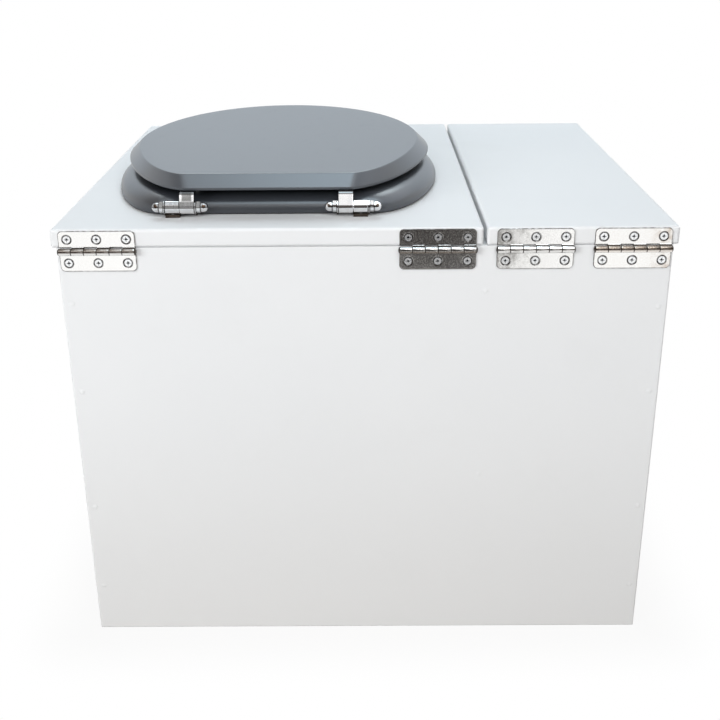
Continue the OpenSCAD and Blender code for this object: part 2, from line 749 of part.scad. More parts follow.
module seat_lid_body() {
    layers = [for (level = lid_section)
        [for (p = outline(lid_shape, level[0])) [p[0], p[1], level[1]]]];
    n = len(layers[0]);
    m = len(lid_section);
    bottom = n * m;
    top = n * m + 1;
    polyhedron(
        points = concat([for (layer = layers, p = layer) p],
            [[0, lid_shape[3], 0], [0, lid_shape[3], seat_lid_t]]),
        faces = concat(wall_faces(n, m),
            [for (i = [0:n - 1]) [bottom, i, (i + 1) % n]],
            [for (i = [0:n - 1]) [top, (m - 1) * n + (i + 1) % n, (m - 1) * n + i]]),
        convexity = 4);
}

module seat_lid() color(seat_grey) from_rear() difference() {
    translate([seat_x + lid_shift, 0, lid_under]) seat_lid_body();
    at_strap_screws() seat_screw(screw_clearance);
    for (s = [-1, 1], p = lid_bumper_spots) translate([seat_x + s * p[0], p[1], lid_under - cut])
        cylinder(r = peg_r + screw_clearance, h = peg_len + cut);
}

module lid_bumpers() color(rubber_grey) from_rear() for (s = [-1, 1], p = lid_bumper_spots)
    translate([seat_x + s * p[0], p[1], ring_under + ring_t + rest_gap])
        bumper(lid_bumper_r, lid_lift - rest_gap);

function bucket_r(h) = bucket_foot_r + wall_slope * h;

// Outer line of the bucket wall from the foot to the rim, drawn in by the given depth.
function wall_line(depth) = concat(
    [for (h = swage_z, k = [0:3])
        [bucket_r(h + [-4, -1.5, 1.5, 4][k]) + (k == 1 || k == 2 ? swage_out : 0) - depth,
            h + [-4, -1.5, 1.5, 4][k]]],
    [[bucket_r(bucket_h) - depth, bucket_h]]);

// Conical bucket with a raised base, two swaged ribs and a rolled rim.
module bucket() color(steel) from_rear() translate([seat_x, bucket_y, board_t])
    rotate_extrude($fn = 128) {
        inner = wall_line(wall_t);
        base = 6;
        polygon(concat([[bucket_r(0), 0]], wall_line(0),
            [for (i = [len(inner) - 1:-1:0]) inner[i]],
            [[bucket_r(base + wall_t) - wall_t, base + wall_t], [0, base + wall_t], [0, base],
                [bucket_r(base) - wall_t, base], [bucket_r(0) - wall_t, 0]]));
        translate([bucket_r(bucket_h) + rim_bead_r - wall_t, bucket_h - rim_bead_r + rest_gap])
            circle(rim_bead_r);
    }

// Round ears riveted to the bucket wall, each with a blind bore for the bail.
module bucket_ears() color(steel) from_rear() translate([seat_x, bucket_y, 0])
    difference() {
        for (s = [-1, 1]) translate([0, 0, ear_z]) rotate([0, s * 90, 0])
            translate([0, 0, ear_wall_r - 6]) cylinder(r = bucket_ear_r, h = ear_reach - ear_wall_r + 6);
        translate([0, 0, board_t]) cylinder(r1 = bucket_foot_r + 0.02,
            r2 = bucket_top_r + 0.02, h = bucket_h, $fn = 128);
        for (s = [-1, 1]) translate([0, 0, ear_z]) rotate([0, s * 90, 0])
            translate([0, 0, ear_reach - 5]) cylinder(r = wire_r + pin_clearance, h = 5 + cut);
    }

// Bends its children from the flat bail plan down to where the bail hangs.
module hanging() {
    translate([seat_x, bucket_y, ear_z]) rotate([-hang_angle, 0, 0]) children();
}

module bail() color(steel) from_rear() hanging() {
    side_len = bail_reach - bail_corner;
    for (s = [-1, 1]) {
        translate([s * (ear_reach - 4.8), 0, 0]) rotate([0, s * 90, 0])
            cylinder(r = wire_r, h = bail_half - ear_reach + 4.8);
        translate([s * bail_half, 0, 0]) sphere(r = wire_r);
        translate([s * bail_half, 0, 0]) rotate([-90, 0, 0]) cylinder(r = wire_r, h = side_len);
        translate([s * bail_straight, side_len, 0]) rotate([0, 0, s > 0 ? 0 : 90])
            rotate_extrude(angle = 90) translate([bail_corner, 0]) circle(wire_r);
    }
    translate([-bail_straight, bail_reach, 0]) rotate([0, 90, 0])
        cylinder(r = wire_r, h = 2 * bail_straight);
}

// Turned grip with a rounded end at both sides.
module grip() color(grip_wood) from_rear() hanging()
    translate([0, bail_reach, 0]) rotate([0, 90, 0]) difference() {
        half = grip_len / 2;
        rotate_extrude() polygon([[0, -half], [grip_r - 4, -half], [grip_r - 2, -half + 1],
            [grip_r - 1.2, -half + 3], [grip_r, -half + 16], [grip_r, half - 16],
            [grip_r - 1.2, half - 3], [grip_r - 2, half - 1], [grip_r - 4, half], [0, half]]);
        translate([0, 0, -half - cut]) cylinder(r = wire_r + pin_clearance, h = grip_len + 2 * cut);
    }

rear_panel();
front_panel();
left_panel();
right_panel();
divider_panel();
floor_panel();
rear_screws();
front_screws();
side_screws();
floor_screws();
base_leaf_1();
base_leaf_2();
base_leaf_3();
base_leaf_4();
top_leaf_1();
top_leaf_2();
top_leaf_3();
top_leaf_4();
hinge_pin_1();
hinge_pin_2();
hinge_pin_3();
hinge_pin_4();
base_leaf_screws();
seat_board_leaf_screws();
litter_lid_leaf_screws();
seat_board();
litter_lid();
urine_deflector();
deflector_screws();
seat_posts();
post_pads();
post_washers();
wing_nuts();
seat_hinge_pins();
cap_nuts();
seat_ring();
ring_brackets();
bracket_screws();
ring_bumpers();
seat_lid();
lid_straps();
strap_screws();
lid_bumpers();
bucket();
bucket_ears();
bail();
grip();
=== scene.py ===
"""Composting toilet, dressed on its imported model: a white painted box with two hinged boards,
a satin grey seat ring and lid on chromed hinges, four steel butt hinges and a spun steel bucket."""

import json
import math

import bmesh
import bpy
import numpy as np
from mathutils import Matrix, Vector


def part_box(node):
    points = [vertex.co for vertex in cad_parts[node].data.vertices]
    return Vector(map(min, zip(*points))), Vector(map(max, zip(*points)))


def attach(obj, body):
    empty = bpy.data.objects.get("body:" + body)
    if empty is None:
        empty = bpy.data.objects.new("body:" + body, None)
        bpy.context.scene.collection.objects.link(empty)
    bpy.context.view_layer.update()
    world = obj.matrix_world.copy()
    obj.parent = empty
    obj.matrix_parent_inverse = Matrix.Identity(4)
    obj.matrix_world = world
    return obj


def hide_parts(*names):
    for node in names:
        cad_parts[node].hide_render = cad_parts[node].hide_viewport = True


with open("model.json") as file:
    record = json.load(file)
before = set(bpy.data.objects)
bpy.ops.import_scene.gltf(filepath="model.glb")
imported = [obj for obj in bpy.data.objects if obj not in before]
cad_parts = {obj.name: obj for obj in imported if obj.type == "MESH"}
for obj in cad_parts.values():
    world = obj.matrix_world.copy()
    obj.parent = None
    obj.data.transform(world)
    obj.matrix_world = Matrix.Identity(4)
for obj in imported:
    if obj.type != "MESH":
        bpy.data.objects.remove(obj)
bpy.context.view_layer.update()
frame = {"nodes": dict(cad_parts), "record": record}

SCENE = bpy.context.scene

# The camera's place in metres, its turn down, aside and over in degrees, and its lens.
CAMERA_PLACE = (-0.000075, -1.2656, 0.7360)
CAMERA_TURN = (22.574, -0.294, -0.4375)
LENS_MM, SENSOR_MM = 54.352, 36.0

# A butt hinge leaf, in metres: the knuckles' radius, where the plate starts and ends in its
# distance from the pin, its thickness, the radius of its corners and of its front edge, the
# radius and depth of a countersink, the radii of a screw's head and of its recess, and the
# places of the screws, along the pin from the leaf's middle and away from the pin.
KNUCKLE_R = 0.0034
LEAF_IN, LEAF_OUT = KNUCKLE_R + 0.0004, 0.020
LEAF_THICK = 0.0014
LEAF_CORNER, LEAF_EDGE = 0.0045, 0.00045
SINK_R, SINK_DEPTH = 0.0046, 0.0012
HEAD_R, RECESS_R = 0.0040, 0.0016
LEAF_SCREWS = (0.0284, 0.0117)

# A knuckle: the front and back of the sheet where it leaves the pin, as distances from it, how
# far its neck runs into the leaf, the easing of its ends, and half the gap to the next one.
NECK_FRONT, NECK_BACK, NECK_REACH = 0.0023, 0.0037, 0.0043
KNUCKLE_EASE = 0.0004
KNUCKLE_GAP = 0.00015

# A seat hinge: the barrels' radius, the strap's width, and along the pin, from the middle
# between the two barrels, the barrels' end, an ear, the cap nut, the joints that hold grime,
# the painted brown reflection spot on a dome with its height above the pin, and the strap's
# middle.
BARREL_R, STRAP_WIDE = 0.0065, 0.0143
BARREL_END, EAR = 0.01475, 0.0015
NUT_START = BARREL_END + EAR
NUT_TIP = NUT_START + 0.0116
NUT_JOINTS = (BARREL_END - 0.00015, NUT_START, NUT_START + 0.0044)
NUT_REFLECTION_SPOT = (NUT_START + 0.0073, 0.0019)
STRAP_MIDDLE = 0.0073

# Heights between which a finish changes, in metres: over the ring's foot, with a painted contact
# shadow, over its dome, with a painted shade under the lid, and over the foot of the seat hinges,
# with a painted contact shadow.
RING_FOOT_SHADOW_Z = (0.4566, 0.4578)
LID_SHADE_Z = (0.4755, 0.4775)
POST_FOOT_SHADOW_Z = (0.4588, 0.4602)


# ---------------------------------------------------------------- camera

def place_camera():
    """The photographed view, from 1.27 m behind the box's middle, looking down on it."""
    pitch, yaw, roll = (math.radians(a) for a in CAMERA_TURN)
    ahead = Vector((math.sin(yaw) * math.cos(pitch), math.cos(yaw) * math.cos(pitch),
                    -math.sin(pitch)))
    right = Vector((math.cos(yaw), -math.sin(yaw), 0.0))
    up = right.cross(ahead)
    level_right = math.cos(roll) * right + math.sin(roll) * up
    level_up = -math.sin(roll) * right + math.cos(roll) * up
    data = bpy.data.cameras.new("photo_camera")
    data.lens = LENS_MM
    data.sensor_width = SENSOR_MM
    data.clip_start = 0.02
    data.clip_end = 60.0
    camera = bpy.data.objects.new("photo_camera", data)
    SCENE.collection.objects.link(camera)
    turn = Matrix((level_right, level_up, -ahead)).transposed().to_4x4()
    camera.matrix_world = Matrix.Translation(CAMERA_PLACE) @ turn
    SCENE.camera = camera
    SCENE.view_settings.view_transform = "Standard"


# ---------------------------------------------------------------- shader expressions

class Signal:
    """A number in a node graph: arithmetic on it adds Math nodes."""

    def __init__(self, graph, socket):
        self.graph = graph
        self.socket = socket

    def maths(self, operation, *values, clamp=False):
        node = self.graph.node("ShaderNodeMath", {"operation": operation, "use_clamp": clamp},
                               dict(enumerate(values)))
        return Signal(self.graph, node.outputs[0])

    def __add__(self, other):
        return self.maths("ADD", self, other)

    def __sub__(self, other):
        return self.maths("SUBTRACT", self, other)

    def __rsub__(self, other):
        return self.maths("SUBTRACT", other, self)

    def __mul__(self, other):
        return self.maths("MULTIPLY", self, other)

    def __truediv__(self, other):
        return self.maths("DIVIDE", self, other)

    def __pow__(self, other):
        return self.maths("POWER", self, other)

    def at_least(self, value):
        return self.maths("MAXIMUM", self, value)

    def at_most(self, value):
        return self.maths("MINIMUM", self, value)

    def __abs__(self):
        return self.maths("ABSOLUTE", self)

    def fraction(self):
        return self.maths("FRACT", self)

    def clamped(self):
        return self.maths("ADD", self, 0.0, clamp=True)

    def ramp(self, low, high, start=0.0, end=1.0):
        """start below low, end above high, and a smooth step between them."""
        node = self.graph.node("ShaderNodeMapRange", {"interpolation_type": "SMOOTHSTEP"},
                               {0: self, 1: low, 2: high, 3: start, 4: end})
        return Signal(self.graph, node.outputs[0])

    def fade(self, low, high):
        """One below low, nothing above high."""
        return self.ramp(low, high, 1.0, 0.0)


class Graph:
    """A node tree, filled by one method."""

    def __init__(self, tree):
        self.tree = tree
        self.tree.nodes.clear()

    def node(self, kind, settings, sockets):
        """A node of the kind, its settings made first, then its sockets set or linked."""
        node = self.tree.nodes.new(kind)
        for key, value in settings.items():
            setattr(node, key, value)
        for key, value in sockets.items():
            socket = node.inputs[key]
            if isinstance(value, Signal):
                value = value.socket
            if isinstance(value, bpy.types.NodeSocket):
                self.tree.links.new(value, socket)
            else:
                socket.default_value = value
        return node


class Finish(Graph):
    """One procedural material in object coordinates."""

    def __init__(self, name):
        self.material = bpy.data.materials.new(name)
        self.material.use_nodes = True
        super().__init__(self.material.node_tree)
        self.place = self.node("ShaderNodeTexCoord", {}, {}).outputs["Object"]

    def stretched(self, x, y, z):
        """Object coordinates scaled by x, y and z."""
        return self.node("ShaderNodeMapping", {}, {"Vector": self.place, "Scale": (x, y, z)}
                         ).outputs[0]

    def noise(self, scale, detail=2.0, roughness=0.5, vector=None, distortion=0.0):
        node = self.node("ShaderNodeTexNoise", {}, {
            "Vector": vector or self.place, "Scale": scale, "Detail": detail,
            "Roughness": roughness, "Distortion": distortion})
        return Signal(self, node.outputs[0])

    def axis(self, name, vector=None):
        """One coordinate, in metres, of the piece's own place."""
        node = self.node("ShaderNodeSeparateXYZ", {}, {0: vector or self.place})
        return Signal(self, node.outputs[name])

    def blend(self, share, first, second):
        """Colour between first, at share 0, and second, at share 1."""
        first, second = ((*c, 1.0) if isinstance(c, tuple) and len(c) == 3 else c
                         for c in (first, second))
        node = self.node("ShaderNodeMix", {"data_type": "RGBA"}, {0: share, 6: first, 7: second})
        return node.outputs[2]

    def relief(self, height, depth, strength):
        """Normal of a height in 0..1 that stands depth metres deep."""
        return self.node("ShaderNodeBump", {}, {
            "Height": height, "Distance": depth, "Strength": strength}).outputs[0]

    def surface(self, **sockets):
        """Ends the material in a Principled surface."""
        named = {key.replace("_", " "): value for key, value in sockets.items()}
        shader = self.node("ShaderNodeBsdfPrincipled", {}, named)
        self.node("ShaderNodeOutputMaterial", {}, {"Surface": shader.outputs[0]})
        return self.material


# ---------------------------------------------------------------- finishes

def white_paint(name):
    """Rolled white satin paint: a fine peel, faint rolling streaks, soiled at the foot, with a
    painted shade that darkens and warms it towards the bottom.
    """
    f = Finish(name)
    peel = f.noise(520.0, 2.0, 0.55)
    grain = f.noise(1600.0, 2.0, 0.5)
    streaks = f.noise(60.0, 3.0, 0.6, f.stretched(1.0, 1.0, 0.08))
    broad = f.noise(2.6, 2.0, 0.5)
    specks = f.noise(900.0, 1.0, 0.5).ramp(0.74, 0.80)
    splashed = f.axis("Z").fade(0.0, 0.05)
    # Painted shade: darker and warmer towards the bottom, over the lowest 0.34 m.
    lower_shade = f.axis("Z").ramp(0.0, 0.34, 0.85, 0.0)
    soil = (f.noise(14.0, 4.0, 0.6).ramp(0.52, 0.78) * 0.35 + splashed * 0.4).clamped()
    fresh = f.blend(broad.ramp(0.35, 0.65), (0.862, 0.870, 0.878), (0.882, 0.888, 0.893))
    painted_light = f.blend(lower_shade, fresh, (0.812, 0.806, 0.796))
    soiled = f.blend(soil * 0.20, painted_light, (0.72, 0.72, 0.70))
    colour = f.blend(specks * 0.12, soiled, (0.60, 0.58, 0.55))
    height = peel * 0.55 + grain * 0.2 + streaks * 0.25
    return f.surface(
        Base_Color=colour,
        Roughness=streaks * 0.10 + broad * 0.06 + 0.40,
        Normal=f.relief(height, 0.00010, 0.55),
        Specular_IOR_Level=0.28)


def seat_lacquer(name):
    """Satin grey lacquer on a moulded seat: fine peel and dust, paler where it is rubbed.

    It carries a painted shade on the ring's dome under the rear of the lid, and a painted contact
    shadow at the ring's foot.
    """
    f = Finish(name)
    peel = f.noise(900.0, 2.0, 0.5)
    cloud = f.noise(9.0, 3.0, 0.55)
    rubbed = f.noise(90.0, 4.0, 0.6, f.stretched(1.0, 0.35, 1.0)).ramp(0.56, 0.80)
    dust = f.noise(1400.0, 1.0, 0.5).ramp(0.73, 0.80)
    body = f.blend(cloud.ramp(0.3, 0.7), (0.062, 0.069, 0.080), (0.070, 0.078, 0.090))
    worn = f.blend(rubbed * 0.06, body, (0.12, 0.13, 0.145))
    dust_and_shade = f.blend(dust * 0.10, worn, (0.45, 0.46, 0.47))
    # Painted shade on the rear of the ring's dome, where the lid hangs over it.
    rear = f.axis("Y").fade(-0.12, -0.04) * f.axis("X").fade(-0.03, 0.02)
    lid_shade = rear * f.axis("Z").fade(*LID_SHADE_Z)
    lid_shaded = f.blend(lid_shade * 0.70, dust_and_shade, (0.020, 0.022, 0.027))
    # Painted contact shadow: the ring's foot turns nearly black, and rougher.
    foot = f.axis("Z").fade(*RING_FOOT_SHADOW_Z)
    colour = f.blend(foot * 0.95, lid_shaded, (0.010, 0.008, 0.007))
    return f.surface(
        Base_Color=colour,
        Roughness=cloud * 0.03 + rubbed * 0.02 + foot * 0.4 + 0.28,
        Normal=f.relief(peel, 0.00004, 0.4),
        Specular_IOR_Level=0.62)


def nearest_screw(f, middles, pin_z):
    """Distance to the nearest leaf screw, on leaves with the given middles, in metres."""
    x = f.axis("X")
    along = None
    for middle in middles:
        from_middle = abs(x - middle)
        along = from_middle if along is None else along.at_most(from_middle)
    along = along.at_most(abs(along - LEAF_SCREWS[0]))
    away = abs(f.axis("Z") - pin_z) - LEAF_SCREWS[1]
    return (along * along + away * away) ** 0.5


def hinge_steel(name, node, bare, dull, speckle, wear, browned):
    """Stainless leaves: frosted grain, and painted shade in seams round outline, screws and
    knuckles.

    The seams follow the distance to the rounded outline, to the screws and to the pin. Speckle
    is the share of the dull colour in the grain. It shows more where the leaf is worn, along X
    from its middle, and the knuckles carry a painted brown reflection along Z from the pin, both
    given as (from, to, share).
    """
    worn_from, worn_to, worn_share = wear
    brown_from, brown_to, brown_share = browned
    low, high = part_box(node)
    middle, half = (low[0] + high[0]) / 2, (high[0] - low[0]) / 2
    pin_y, pin_z = low[1] + KNUCKLE_R, low[2] + KNUCKLE_R
    f = Finish(name)
    along = f.axis("X") - middle
    above = f.axis("Z") - pin_z
    away = abs(above)
    to_pin = ((f.axis("Y") - pin_y) ** 2.0 + away ** 2.0) ** 0.5
    knuckle = to_pin.fade(KNUCKLE_R + 0.0002, KNUCKLE_R + 0.0005)
    across_x = abs(along) - (half - LEAF_CORNER)
    across_z = away - (LEAF_OUT - LEAF_CORNER)
    bow = (across_x.at_least(0.0) ** 2.0 + across_z.at_least(0.0) ** 2.0) ** 0.5
    depth = across_x.at_least(across_z).at_most(0.0) + bow
    uneven = f.noise(260.0, 2.0, 0.6)
    outline = (depth.ramp(LEAF_CORNER - 0.0009, LEAF_CORNER - 0.0003)
               * uneven.ramp(0.25, 0.6, 0.4, 0.9))
    screw = nearest_screw(f, [middle], pin_z)
    sunk = (screw.ramp(HEAD_R - 0.0003, HEAD_R + 0.0001)
            * screw.fade(SINK_R + 0.0001, SINK_R + 0.0007) * uneven.ramp(0.35, 0.6, 0.35, 1.0))
    pitch = half / 3
    turn = (along + half) / pitch + 0.5
    to_joint = abs(turn.fraction() - 0.5) * pitch
    joint = to_joint.fade(0.00025, 0.0006) * knuckle
    root = (away.ramp(KNUCKLE_R - 0.0005, KNUCKLE_R - 0.0002)
            * away.fade(KNUCKLE_R + 0.0003, KNUCKLE_R + 0.0008))
    # Painted shade in the seams: dark lines round the leaf's outline, in the countersinks, between
    # the knuckles and where they meet the plate.
    seam_shade = outline.at_least(sunk).at_least(joint).at_least(root * 0.85)
    grain = f.noise(1500.0, 3.0, 0.65)
    coarse = f.noise(900.0, 2.0, 0.6)
    patch = f.noise(75.0, 4.0, 0.65).ramp(0.42, 0.66)
    worn = (along.ramp(worn_from, worn_to) * patch * worn_share).at_least(knuckle * 0.35)
    steel = f.blend(coarse.ramp(0.36, 0.60) * speckle, bare, dull)
    # Painted brown reflection of the room on the knuckles, on the side of the pin that the band
    # gives.
    brown_reflection = (above.ramp(brown_from, brown_to) * knuckle
               * (coarse.ramp(0.2, 0.7) * 0.3 + 0.7) * brown_share)
    used = f.blend(brown_reflection, f.blend(worn, steel, dull), (0.105, 0.075, 0.050))
    colour = f.blend(seam_shade, used, (0.050, 0.040, 0.033))
    return f.surface(
        Base_Color=colour,
        Metallic=1.0,
        Roughness=grain * 0.06 + worn * 0.08 + seam_shade * 0.3 + 0.11,
        Normal=f.relief(grain * 0.6 + coarse * 0.4, 0.00003, 0.5))


def screw_zinc(name, middles=None, pin_z=0.0):
    """Zinc-plated screws. Given the middles of leaves, with painted shade in the recess and round
    the rim.
    """
    f = Finish(name)
    grain = f.noise(2600.0, 3.0, 0.6)
    patch = f.noise(800.0, 3.0, 0.6)
    colour = f.blend(patch.ramp(0.52, 0.70) * 0.5, (0.93, 0.94, 0.95), (0.52, 0.56, 0.62))
    if middles:
        away = nearest_screw(f, middles, pin_z) + patch * 0.0010
        # Painted shade in the cross recess and round the head's rim.
        recess = away.fade(RECESS_R - 0.0004, RECESS_R + 0.0004)
        rim = away.ramp(HEAD_R - 0.0002, HEAD_R + 0.0002) * 0.8
        colour = f.blend(recess.at_least(rim), colour, (0.030, 0.034, 0.045))
    return f.surface(
        Base_Color=colour,
        Metallic=1.0,
        Roughness=patch * 0.12 + 0.14,
        Normal=f.relief(grain, 0.00003, 0.5))


def hinge_chrome(name):
    """Chromed die-cast metal: hairlines, grime in the joints, and painted shade on the strap's top
    under the lid.

    The joints follow the distance along the pin from the middle of the nearer hinge: barrel to
    ear, ear to nut, and flats to dome. Each dome has a painted brown reflection spot on its outer
    side. The left hinge carries painted reflections: grey on top of its barrels and on its strap,
    and a dark line along its pin. The foot of the seat hinges carries a painted contact shadow.
    """
    low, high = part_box("cap_nuts")
    pin_z = (low[2] + high[2]) / 2
    f = Finish(name)
    x, above = f.axis("X"), f.axis("Z") - pin_z
    from_left, from_right = x - (low[0] + NUT_TIP), x - (high[0] - NUT_TIP)
    along = abs(from_left).at_most(abs(from_right))
    wave = f.noise(120.0, 2.0, 0.5)
    hair = f.noise(900.0, 2.0, 0.6, f.stretched(0.08, 1.0, 1.0))
    spots = f.noise(1500.0, 2.0, 0.6).ramp(0.66, 0.78)
    streak = f.noise(700.0, 2.0, 0.6, f.stretched(1.0, 1.0, 0.15))
    bright = f.blend(wave.ramp(0.35, 0.65), (0.84, 0.84, 0.85), (0.92, 0.92, 0.92))
    used = f.blend(spots * 0.4, bright, (0.45, 0.42, 0.38))
    # Painted reflections on the left hinge only: grey on its barrels' top and on its strap's face,
    # and a dark line along its pin.
    painted_light = from_left.fade(0.030, 0.040)
    barrel_top = above.ramp(0.0002, 0.0008) * above.fade(BARREL_R - 0.0005, BARREL_R + 0.0007)
    barrel_top_reflection = barrel_top * painted_light * (streak.ramp(0.3, 0.7) * 0.10 + 0.68)
    strap_middle = abs(from_left - STRAP_MIDDLE).fade(0.0040, 0.0056)
    strap_reflection = strap_middle * above.ramp(BARREL_R - 0.0009, BARREL_R + 0.0015) * painted_light * 0.86
    barrel_reflected = f.blend(barrel_top_reflection * (1.0 - strap_reflection), used, (0.10, 0.10, 0.10))
    strap_reflected = f.blend(strap_reflection, barrel_reflected, (0.17, 0.17, 0.165))
    pin_reflection = abs(above - 0.0006).fade(0.0002, 0.0007) * painted_light
    seams = pin_reflection
    for place, half in zip(NUT_JOINTS, (0.0003, 0.0003, 0.0005)):
        seams = seams.at_least(abs(along - place).fade(half, half + 0.0004))
    # Painted brown reflection: a spot on each dome's outer side.
    spot = ((along - NUT_REFLECTION_SPOT[0]) ** 2.0 + (above - NUT_REFLECTION_SPOT[1]) ** 2.0) ** 0.5
    dome_reflection = (spot + spots * 0.0004).fade(0.0012, 0.0021)
    # Grime in the joints, and the painted dark line along the left hinge's pin.
    grime_and_pin_reflection = f.blend(seams * 0.75, strap_reflected, (0.030, 0.026, 0.022))
    brown_reflection = f.blend(dome_reflection * 0.95, grime_and_pin_reflection, (0.060, 0.032, 0.015))
    # Painted shade on the strap's top, where it lies under the lid.
    strap_top_shade = above.ramp(0.0120, 0.0132)
    dust_and_shade = f.blend(strap_top_shade * 0.9, brown_reflection, (0.050, 0.050, 0.050))
    # Painted contact shadow at the foot of the seat hinges.
    post_foot_shadow = f.axis("Z").fade(*POST_FOOT_SHADOW_Z)
    return f.surface(
        Base_Color=f.blend(post_foot_shadow * 0.95, dust_and_shade, (0.060, 0.048, 0.036)),
        Metallic=1.0,
        Roughness=hair * 0.05 + spots * 0.2 + 0.05,
        Normal=f.relief(wave * 0.6 + hair * 0.4, 0.00005, 0.5))


def moulded_rubber(name, deep, dust_and_shade):
    """Dark moulded rubber, blotched between its deep colour and a bloom of dust."""
    f = Finish(name)
    grain = f.noise(1800.0, 3.0, 0.6)
    bloom = f.noise(180.0, 4.0, 0.6)
    colour = f.blend(bloom.ramp(0.45, 0.75), deep, dust_and_shade)
    return f.surface(
        Base_Color=colour,
        Roughness=bloom * 0.15 + 0.62,
        Normal=f.relief(grain, 0.00008, 0.6))


def spun_steel(name, centre):
    """Spun stainless: fine rings round an upright axis through centre, marks and scratches."""
    f = Finish(name)
    moved = f.node("ShaderNodeMapping", {}, {
        "Vector": f.place, "Location": (-centre[0], -centre[1], 0.0)}).outputs[0]
    across = f.axis("X", moved)
    along = f.axis("Y", moved)
    radius = (across * across + along * along) ** 0.5
    rings = f.node("ShaderNodeCombineXYZ", {}, {0: radius, 1: f.axis("Z"), 2: 0.0}).outputs[0]
    lines = f.noise(1100.0, 3.0, 0.7, rings)
    marks = f.noise(30.0, 5.0, 0.6).ramp(0.55, 0.75)
    scratches = f.noise(500.0, 2.0, 0.6, f.stretched(1.0, 1.0, 0.05)).ramp(0.66, 0.72)
    metal = f.blend(lines.ramp(0.3, 0.7), (0.60, 0.61, 0.62), (0.72, 0.73, 0.74))
    colour = f.blend(marks * 0.22, metal, (0.50, 0.49, 0.47))
    return f.surface(
        Base_Color=colour,
        Metallic=1.0,
        Roughness=lines * 0.14 + marks * 0.10 + 0.22,
        Normal=f.relief(lines * 0.7 + scratches * 0.3, 0.00004, 0.6))


def oiled_beech(name):
    """Oiled beech with long grain along X, darker pores and handling marks."""
    f = Finish(name)
    grain = f.noise(240.0, 5.0, 0.65, f.stretched(0.05, 1.0, 1.0), 0.6)
    pores = f.noise(1800.0, 2.0, 0.6, f.stretched(0.12, 1.0, 1.0)).ramp(0.60, 0.70)
    handled = f.noise(45.0, 4.0, 0.6).ramp(0.5, 0.75)
    wood = f.blend(grain.ramp(0.35, 0.68), (0.56, 0.36, 0.20), (0.40, 0.23, 0.11))
    dark = f.blend(pores * 0.6, wood, (0.20, 0.10, 0.05))
    colour = f.blend(handled * 0.25, dark, (0.30, 0.20, 0.13))
    return f.surface(
        Base_Color=colour,
        Roughness=grain * 0.12 + handled * 0.10 + 0.38,
        Normal=f.relief(grain * 0.5 - pores * 0.5, 0.0001, 0.6))


# ---------------------------------------------------------------- surfaces

def quarter_round(radius, depth):
    """How far a quarter circle stands back at a depth: r - sqrt(r^2 - (r - depth)^2)."""
    left = np.clip(radius - depth, 0.0, radius)
    return radius - np.sqrt(radius ** 2 - left ** 2)


def grid_mesh(points, closed_u, closed_v):
    """Vertices and quads of a grid of points (rows u, columns v), joined across where closed."""
    rows, columns = points.shape[:2]
    u = np.arange(rows if closed_u else rows - 1)
    v = np.arange(columns if closed_v else columns - 1)
    u, v = (a.ravel() for a in np.meshgrid(u, v, indexing="ij"))
    un, vn = (u + 1) % rows, (v + 1) % columns
    quads = np.stack([u * columns + v, un * columns + v, un * columns + vn, u * columns + vn], 1)
    return points.reshape(-1, 3), quads.tolist()


def make_piece(name, parts, finish, smooth=True):
    """One object from (vertices, faces) parts, at the origin, with its finish."""
    vertices, faces, start = [], [], 0
    for points, polygons in parts:
        vertices.append(points)
        faces.extend([[index + start for index in polygon] for polygon in polygons])
        start += len(points)
    mesh = bpy.data.meshes.new(name)
    mesh.from_pydata(np.concatenate(vertices).tolist(), [], faces)
    mesh.validate()
    shell = bmesh.new()
    shell.from_mesh(mesh)
    bmesh.ops.recalc_face_normals(shell, faces=shell.faces)
    shell.to_mesh(mesh)
    shell.free()
    mesh.polygons.foreach_set("use_smooth", np.full(len(mesh.polygons), smooth))
    mesh.materials.append(finish)
    mesh.update()
    piece = bpy.data.objects.new(name, mesh)
    SCENE.collection.objects.link(piece)
    return piece


def seat_outline(half, flat, rear, wide, front, rear_power, inset, phase, widen=-0.35):
    """Plan outline at phases 0..5, anticlockwise from the widest point on the right.

    Phases 0 to 2 run over the front half ellipse: x = a cos t, y = wide + (front - wide) sin t.
    Phases 2 to 3 and 4 to 5 are rear quarters that end in the straight rear edge of half width b:
    x = b + (a - b) cos(t)^(2/p), y = wide - (wide - rear) sin(t)^(2/p). Phase 3 to 4 is the edge,
    and an inset widens b by its share.
    """
    a, b = half - inset, flat + widen * inset
    y0, y1 = rear + inset, front - inset
    power = 2.0 / rear_power
    t = np.clip(phase, 0.0, 2.0) * math.pi / 2
    x, y = a * np.cos(t), wide + (y1 - wide) * np.sin(t)
    back_left = np.clip(phase - 2.0, 0.0, 1.0) * math.pi / 2
    back_right = np.clip(5.0 - phase, 0.0, 1.0) * math.pi / 2
    for side, angle, on in ((-1, back_left, (phase > 2) & (phase <= 3)),
                            (1, back_right, phase > 4)):
        c, s = np.clip(np.cos(angle), 0, 1) ** power, np.clip(np.sin(angle), 0, 1) ** power
        x = np.where(on, side * (b + (a - b) * c), x)
        y = np.where(on, wide - (wide - y0) * s, y)
    straight = (phase > 3) & (phase <= 4)
    x = np.where(straight, -b + 2 * b * (phase - 3.0), x)
    y = np.where(straight, y0, y)
    return np.stack([x, y], -1)


def even_phases(count, **shape):
    """Phases that space the points of an outline evenly along its length."""
    fine = np.linspace(0.0, 5.0, 6001)
    line = seat_outline(inset=0.0, phase=fine, **shape)
    travelled = np.concatenate([[0.0], np.cumsum(np.linalg.norm(np.diff(line, axis=0), axis=1))])
    return np.interp(np.arange(count) * travelled[-1] / count, travelled, fine)


